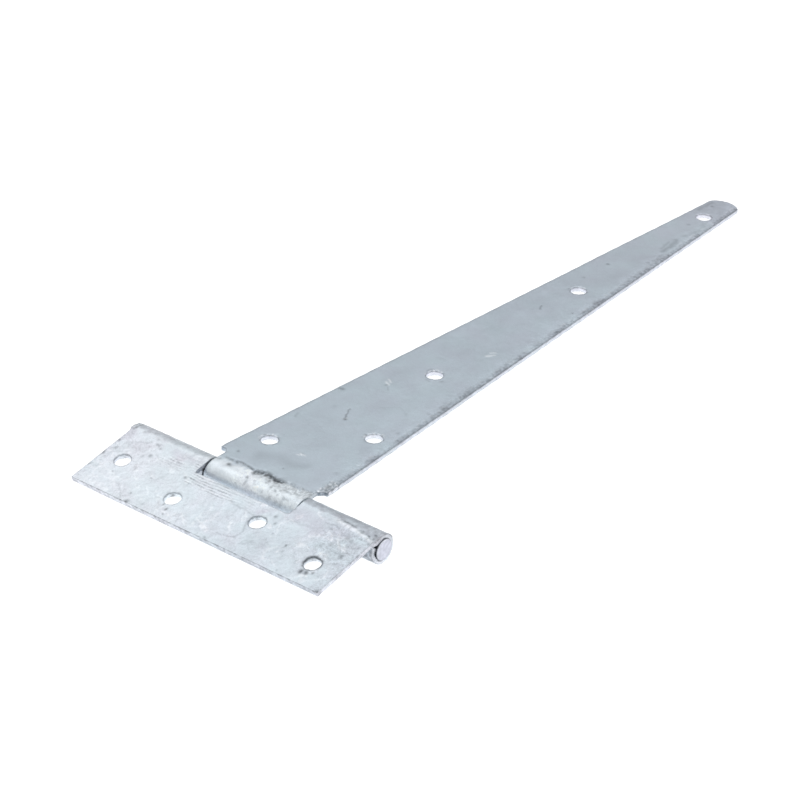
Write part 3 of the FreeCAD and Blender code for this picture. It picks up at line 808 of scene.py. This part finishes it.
def crease_knuckle(skin):
    """A dark crease where the strap rolls into its knuckle, which has fallen in a little before it.
    Gives the crease's line and the top of the roll."""
    across, along, up = skin.places.T
    crease_across, crease_along = zip(*crease)
    crease_line = np.interp(skin.loose[:, 1], crease_along, crease_across)
    before_crease = 1 - ramp_up(across + 0.3 * skin.lump, crease_line - 0.3, crease_line + 0.4)
    fallen = 1 - ramp_up(across, -0.5, 4.5)
    roll_top = ramp_up(up, -1.0, 3.5) * (1 - ramp_up(across, 5.0, 6.5))
    away_from_sides = between(along, -19.0, 16.0, 3.0)
    skin.height -= (0.08 * before_crease + 0.20 * fallen) * roll_top * away_from_sides
    width = 0.7 + 1.1 * between(along, -9.0, 3.0, 2.0)
    groove = near_line(skin.loose + 0.4 * skin.lump[:, None], crease, width) * skin.face_up
    dark = np.interp(along, [-21, -12, -10, -8, -3, 2, 6, 12, 17, 20],
                     [0.30, 0.35, 0.75, 1.0, 1.0, 0.85, 0.7, 0.7, 0.5, 0.1])
    skin.height -= 0.25 * groove * dark
    # The crease's darkness is painted shade in the groove, together with dark zinc along it
    skin.darken(groove * dark * clamp(0.90 + 0.7 * skin.lump))
    skin.crust += roll_top * before_crease * (0.25 + 0.45 * skin.scabbed)
    return crease_line, roll_top


def crumble_near_shoulder(skin):
    """Dull, speckled zinc on the knuckle's near end, and crumbs along the near shoulder."""
    across, along = skin.flat.T
    dull = between(across, 0.5, 5.5, 1.2) * between(along, -22.5, -10.0, 2.0) * skin.face_up
    skin.darken(dull * clamp(0.20 + 0.16 * skin.ripple + 0.22 * skin.speckle))
    skin.gleam += 0.5 * dull * clamp(-skin.speckle)
    skin.height += 0.07 * dull * skin.speckle
    crumbs = between(across, 6.4, 15.5, 1.5) * (1 - ramp_up(along + 0.6 * skin.lump, -22.6, -21.4))
    crumbs *= skin.normals[:, 2] > -0.3
    skin.darken(crumbs * np.clip(0.24 + 0.42 * skin.speckle, 0, 0.5))
    skin.gleam += 1.4 * crumbs * clamp(0.3 - skin.speckle)
    skin.height += 0.12 * crumbs * (skin.speckle + 0.5 * skin.lump)


def brighten_knuckle(skin, crease_line, roll_top):
    """The knuckle's bright top, partly whiter zinc and partly a painted highlight, flecked toward its
    near side; its greyer foot, lifted with painted light; and painted shade on its underside.
    """
    across, along, up = skin.places.T
    before_crease = crease_line - across + 0.8 * skin.ripple + 0.5 * skin.lump
    bright = roll_top * ramp_up(before_crease, -0.3, 3.5 - 2.5 * skin.scabbed)
    bright *= 1 - ramp_up(-across + 0.3 * skin.ripple, 4.35, 5.1)
    top_brightness = np.interp(along, [-20, -5, 5, 18], [0.9, 1.0, 1.0, 0.78])
    # Painted highlight on the knuckle's top, over its whiter zinc
    skin.gleam += bright * top_brightness * clamp(1.0 + 0.25 * skin.ripple)
    flecks = np.clip(0.9 * cloud(skin.places, 1.8, 17) + 0.4 * skin.lump - 0.50, 0, 0.28)
    skin.darken(bright * between(along, -16.0, 6.0, 4.0) * flecks)
    foot = ramp_up(-across + 0.3 * skin.ripple, 4.5, 5.3) * ramp_up(up, -5.0, -2.0)
    skin.darken(foot * clamp(0.02 + 0.04 * skin.ripple))
    # Painted light on the knuckle's foot
    skin.gleam += 0.70 * foot
    underside = ramp_up(-across, 4.75, 5.25) * ramp_up(up, -4.0, -2.0)
    # Painted shade on the knuckle's underside
    skin.darken(0.16 * underside)
    skin.height += skin.crust * (0.05 * skin.ripple + 0.06 * skin.lump)
    skin.violet += 0.25 * (1 - bright)


def wear_blade_edges(skin):
    """The near edge, rolled over and grimy, and the thin dark rim of the far one."""
    across, along = skin.flat.T
    half_width = np.interp(across, [shoulder / MM, tip_corner / MM], [root_half / MM, tip_half / MM])
    in_from_near = half_width + along - strap_middle / MM
    in_from_far = half_width - along + strap_middle / MM
    top = skin.on_blade * skin.face_up
    rolled_over = hump(in_from_near, 0.8) * top
    reach = 1.9 + 0.6 * between(across, 85.0, 250.0, 20.0)
    reach *= 1 + 0.25 * skin.swell + 0.15 * skin.ripple
    grimy = np.exp(-(in_from_near / reach) ** 4) * top
    skin.crust += 0.7 * hump(in_from_near, 4.5) * skin.on_blade
    skin.height -= rolled_over * (0.14 + 0.03 * skin.ripple)
    skin.darken(rolled_over * clamp(0.60 + 0.10 * skin.swell + 0.14 * skin.lump))
    skin.darken(grimy * clamp(0.30 + 0.14 * skin.swell + 0.14 * skin.ripple + 0.18 * skin.lump))
    skin.gleam += 0.8 * grimy * clamp(-skin.speckle - 0.35)
    skin.violet += 0.3 * rolled_over
    skin.gleam += 0.35 * hump(in_from_near - 2.4, 0.6) * skin.on_blade * clamp(skin.ripple)
    thin_rim = hump(in_from_far, 0.8) * top
    skin.height -= 0.05 * thin_rim
    skin.darken(thin_rim * clamp(0.26 + 0.16 * skin.ripple + 0.10 * skin.lump))


def mark_strap(skin):
    """Scores, pits, faint blots and bright scratches, where the photograph shows them, and the
    strap's changing tone toward its tip."""
    across = skin.places[:, 0]
    skin.score(skin.loose, strap_scores)
    skin.pit(skin.loose, strap_pits)
    blurred = skin.flat + 2.0 * cloud(skin.places, 12.0, 19)[:, None]
    for points, width, dark in strap_blots:
        skin.darken(dark * near_line(blurred, points, width) * skin.face_up)
    for points, width in strap_scratches:
        scratch = near_line(skin.loose, points, width) * skin.face_up
        skin.height += 0.05 * scratch
        skin.gleam += 0.9 * scratch
    skin.darken(0.05 * ramp_up(across, 286.0, 294.0) * skin.face_up * (1 + skin.ripple))
    at_tip = ramp_up(across, 275.0, 290.0)
    skin.violet += 0.25 * ramp_up(across, 60.0, 200.0) + 0.9 * at_tip + 0.3 * skin.swell
    skin.gleam += 0.10 * ramp_up(across, 150.0, 300.0)


def rim_strap_holes(skin):
    """Rough rims round the screw holes, with bright crumbs behind the first three, and painted light on
    their walls.
    """
    across, along = skin.flat.T
    for number, (hole_across, hole_along) in enumerate(strap_holes):
        middle = (hole_across / MM, hole_along / MM)
        rim = near_ring(skin.flat, middle, rim_radius, 0.5) * skin.face_up
        skin.height += 0.09 * rim * skin.lump
        if number < 3:
            behind = ramp_up(across - middle[0] + along - middle[1], 0.5, 3.5)
            crumbs = near_ring(skin.flat, middle, 3.6, 0.8) * behind * skin.face_up
            skin.gleam += 1.2 * crumbs * clamp(0.1 + skin.speckle)
            skin.height += 0.08 * crumbs * skin.speckle
        skin.gleam += 0.5 * rim * clamp(0.3 + skin.lump)
        skin.darken(rim * clamp(0.26 + 0.16 * skin.ripple - 0.3 * skin.lump))
        # Painted light on the hole walls
        skin.gleam += skin.hole_wall(middle)


def shade_strap_root(skin):
    """Worn edges, rougher at the root, pale side faces, and painted shade on the sides and inside of the
    neck.
    """
    across, along, up = skin.places.T
    rough_root = 1 - ramp_up(across, 9.0, 14.0)
    worn = skin.edge * skin.on_blade
    skin.height -= worn * (0.02 + 0.01 * skin.ripple + 0.06 * rough_root * (1 + skin.lump))
    skin.darken(worn * clamp(0.16 + 0.10 * skin.ripple + 0.10 * skin.lump + 0.3 * rough_root))
    skin.darken(skin.side_on * clamp(0.06 + 0.08 * skin.ripple))
    skin.gleam += 0.5 * skin.side_on
    skin.violet += 0.50 * skin.side_on
    # Painted shade on the neck's near sides, inside it, and on its far end in the gap beside the leaf
    near_neck = between(across, 2.0, 9.5, 0.5) * ramp_up(-along, 21.0, 22.0) * (1 - skin.face_up)
    skin.darken(0.35 * near_neck)
    skin.darken(0.8 * (1 - ramp_up(np.hypot(across, up), 3.7, 3.95)))
    far_neck = ramp_up(skin.normals[:, 1], 0.85, 0.97) * (1 - skin.on_blade)
    skin.darken(0.8 * far_neck)


def skin_pin(pin):
    """Zinc of the pin: painted shade on its side, brighter on its two ends, with a painted highlight on
    the upper side of each end's rim.
    """
    skin = Skin(pin, fine=(1.3, 21))
    across, along, up = skin.places.T
    end_face = ramp_up(np.abs(skin.normals[:, 1]), 0.5, 0.9) * ramp_up(np.abs(along), 58.7, 58.85)
    skin.height += 0.02 * skin.fine * end_face
    # Painted shade on the pin's side, which shows only in the gaps beside the knuckles' ends
    skin.darken(0.85 * (1 - end_face))
    skin.darken(0.16 * end_face * clamp(0.6 + 0.9 * skin.fine))
    # Painted highlight on the upper side of each end's rim
    rim = near_ring(skin.places[:, [0, 2]], (0, 0), pin_head_radius / MM - 0.2, 0.25) * end_face
    skin.gleam += 0.9 * rim * ramp_up(up - across, 0.0, 3.0)
    skin.violet += 0.5
    skin.set()


def lay_down(piece, turn):
    """Turns the piece about the pin, sets it in its place and holds the zinc to the hinge's size."""
    piece.rotation_euler = (0, turn, 0)
    piece.location = pin_place
    settle(piece)
    low, high = cad_box
    places = np.empty(len(piece.data.vertices) * 3)
    piece.data.vertices.foreach_get("co", places)
    held = np.clip(places.reshape(-1, 3), low, high)
    piece.data.vertices.foreach_set("co", held.ravel())
    piece.data.update()


def add_node(tree, kind, sockets=None, **settings):
    """One shader node, with its settings, and its sockets linked or set."""
    made = tree.nodes.new(kind)
    for name, value in settings.items():
        setattr(made, name, value)
    for name, value in (sockets or {}).items():
        if isinstance(value, bpy.types.NodeSocket):
            tree.links.new(value, made.inputs[name])
        else:
            made.inputs[name].default_value = value
    return made


def noise_of(tree, place, lump, detail):
    """Noise about zero, in lumps of about that many millimetres."""
    made = add_node(
        tree, "ShaderNodeTexNoise", {"Vector": place, "Scale": 1 / (lump * MM), "Detail": detail})
    return math_node(tree, "SUBTRACT", made.outputs["Fac"], 0.5)


def math_node(tree, operation, first, second):
    """One step of arithmetic. FRACT and ABSOLUTE use only the first value."""
    made = add_node(tree, "ShaderNodeMath", {0: first, 1: second}, operation=operation)
    return made.outputs["Value"]


def sums(tree, parts):
    """Several values added up, each with its weight."""
    total = 0.0
    for value, weight in parts:
        made = add_node(
            tree, "ShaderNodeMath", {0: value, 1: weight, 2: total}, operation="MULTIPLY_ADD")
        total = made.outputs["Value"]
    return total


def zinc(name, tone, roughness, mottling):
    """Galvanised steel: cloudy zinc with grain, wandering dried edges, dull crust, dark stains and
    painted shade. The skin's stain and painted shade, crust, gleam and violet say where."""
    material = bpy.data.materials.new(name)
    material.use_nodes = True
    tree = material.node_tree
    shader = tree.nodes["Principled BSDF"]
    place = add_node(tree, "ShaderNodeTexCoord").outputs["Object"]
    clouds = noise_of(tree, place, 15.0, 2.0)
    patches = noise_of(tree, place, 4.0, 3.0)
    mottle = noise_of(tree, place, 1.3, 3.0)
    grain = noise_of(tree, place, 0.5, 2.0)
    stain_and_shade, crust, gleam, violet = [
        add_node(tree, "ShaderNodeAttribute", attribute_name=kind).outputs["Fac"]
        for kind in ("stain_and_shade", "crust", "gleam", "violet")]

    bands_of_cloud = 14.0
    edge_width = 0.09
    bands = math_node(tree, "MULTIPLY", math_node(tree, "ADD", clouds, 0.5), bands_of_cloud)
    in_band = math_node(tree, "SUBTRACT", math_node(tree, "FRACT", bands, 0.0), 0.5)
    from_line = math_node(tree, "ABSOLUTE", in_band, 0.0)
    on_line = add_node(
        tree, "ShaderNodeMapRange",
        {"Value": from_line, "From Min": 0.0, "From Max": edge_width, "To Min": 1.0, "To Max": 0.0})
    dried_edge = math_node(tree, "MULTIPLY", on_line.outputs["Result"], 0.05 * mottling)

    even = sums(tree, [
        (clouds, 0.18), (patches, 0.16 * mottling), (mottle, 0.20 * mottling), (grain, 0.22 * mottling)])
    scabs = sums(tree, [(patches, 0.3), (mottle, 0.45), (grain, 0.4)])
    scabs = math_node(tree, "MULTIPLY", scabs, crust)
    shade = math_node(tree, "ADD", math_node(tree, "ADD", even, scabs), 1.0)
    shade = math_node(tree, "SUBTRACT", shade, dried_edge)
    brushed = add_node(
        tree, "ShaderNodeMix", {"Factor": gleam, "A": (*tone, 1), "B": (*pale_zinc, 1)}, data_type="RGBA")
    tinted = add_node(
        tree, "ShaderNodeMix",
        {"Factor": violet, "A": brushed.outputs["Result"], "B": (*violet_zinc, 1)},
        data_type="RGBA", blend_type="MULTIPLY")
    shaded = add_node(
        tree, "ShaderNodeVectorMath", {0: tinted.outputs["Result"], "Scale": shade}, operation="SCALE")
    coated = add_node(
        tree, "ShaderNodeMix",
        {"Factor": stain_and_shade, "A": shaded.outputs["Vector"], "B": (*stained_and_shaded_zinc, 1)}, data_type="RGBA")
    tree.links.new(coated.outputs["Result"], shader.inputs["Base Color"])

    dull = sums(tree, [(mottle, 0.15), (patches, 0.12), (stain_and_shade, 0.25), (crust, 0.15)])
    tree.links.new(math_node(tree, "ADD", dull, roughness), shader.inputs["Roughness"])

    even_relief = sums(tree, [
        (patches, 0.5 * mottling), (mottle, 0.5 * mottling), (grain, 0.35 * mottling), (dried_edge, 2.0)])
    crust_relief = math_node(tree, "MULTIPLY", sums(tree, [(mottle, 0.9), (grain, 0.8)]), crust)
    relief = math_node(tree, "ADD", even_relief, crust_relief)
    bump = add_node(
        tree, "ShaderNodeBump", {"Height": relief, "Strength": 0.7, "Distance": 0.25 * MM})
    tree.links.new(bump.outputs["Normal"], shader.inputs["Normal"])
    shader.inputs["Metallic"].default_value = 0.85
    return material


def dress(piece, material, body, node):
    """Gives a finished piece its metal, and says which part of the frame it is."""
    piece.data.materials.clear()
    piece.data.materials.append(material)
    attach(piece, body)
    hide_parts(node)


def lay_floor():
    """Plain pale table, which glows a little so that it stays white under the hinge."""
    deselect()
    bpy.ops.mesh.primitive_plane_add(size=14.0, location=(0, 0, 0))
    floor = bpy.context.object
    floor.name = floor.data.name = "pale_floor"
    paint = bpy.data.materials.new("pale_floor_paint")
    paint.use_nodes = True
    shader = paint.node_tree.nodes["Principled BSDF"]
    grey, glow = 0.35, 0.9
    shader.inputs["Base Color"].default_value = (grey, grey, grey, 1)
    shader.inputs["Roughness"].default_value = 0.9
    shader.inputs["Emission Color"].default_value = (1, 1, 1, 1)
    shader.inputs["Emission Strength"].default_value = glow
    floor.data.materials.append(paint)


def light_studio():
    """Grey studio, darker toward the horizon, with one large soft light high up behind the strap."""
    world = bpy.data.worlds.new("soft_studio")
    bpy.context.scene.world = world
    world.use_nodes = True
    tree = world.node_tree
    backdrop = tree.nodes["Background"]
    direction = add_node(tree, "ShaderNodeTexCoord").outputs["Generated"]
    split = add_node(tree, "ShaderNodeSeparateXYZ", {"Vector": direction})
    ramp = add_node(tree, "ShaderNodeValToRGB", {"Fac": split.outputs["Z"]})
    steps = [(0.0, 0.46), (0.25, 0.52), (0.5, 0.57), (0.75, 0.88), (1.0, 1.10)]
    stops = ramp.color_ramp.elements
    while len(stops) < len(steps):
        stops.new(0.5)
    for stop, (height, shade) in zip(stops, steps):
        stop.position = height
        stop.color = (shade, shade, shade, 1)
    tree.links.new(ramp.outputs["Color"], backdrop.inputs["Color"])
    backdrop.inputs["Strength"].default_value = 1.0

    width, tall, distance = 2.6, 1.1, 1.8
    brightness = 0.35
    height_angle = math.radians(52)
    data = bpy.data.lights.new("soft_window", "AREA")
    data.shape = "RECTANGLE"
    data.size, data.size_y = width, tall
    data.energy = brightness * math.pi * width * tall
    light = bpy.data.objects.new("soft_window", data)
    bpy.context.scene.collection.objects.link(light)
    aim = (Matrix.Rotation(view_heading - math.pi / 2, 4, "Z")
           @ Matrix.Rotation(height_angle - math.pi / 2, 4, "X"))
    light.matrix_world = aim @ Matrix.Translation((0, 0, distance))


def place_camera():
    """The photograph's view: over the cross leaf and along the strap, from its near side."""
    place = (-0.69564, -0.52507, 0.49528)
    data = bpy.data.cameras.new("photo_view")
    camera = bpy.data.objects.new("photo_view", data)
    bpy.context.scene.collection.objects.link(camera)
    down = math.radians(30.574)
    roll = math.radians(-0.349)
    turn = (Matrix.Rotation(view_heading - math.pi / 2, 4, "Z")
            @ Matrix.Rotation(math.pi / 2 - down, 4, "X") @ Matrix.Rotation(roll, 4, "Z"))
    camera.matrix_world = Matrix.Translation(place) @ turn
    data.sensor_width = 36.0
    data.lens = 115.74
    data.dof.use_dof = False
    bpy.context.scene.camera = camera


leaf = form_leaf()
strap = form_strap()
pin = form_pin()
lay_down(leaf, leaf_turn)
lay_down(strap, strap_turn)
lay_down(pin, 0.0)

leaf_zinc = zinc("leaf_zinc_skin", tone=(0.68, 0.76, 0.82), roughness=0.36, mottling=0.75)
strap_zinc = zinc("strap_zinc_skin", tone=(0.566, 0.658, 0.728), roughness=0.34, mottling=0.35)
pin_zinc = zinc("pin_zinc_skin", tone=(0.66, 0.70, 0.79), roughness=0.36, mottling=0.6)
dress(leaf, leaf_zinc, "leaf", "cross_leaf")
dress(strap, strap_zinc, "strap", "strap")
dress(pin, pin_zinc, "leaf", "hinge_pin")

lay_floor()
light_studio()
place_camera()
bpy.context.scene.view_settings.view_transform = "Standard"
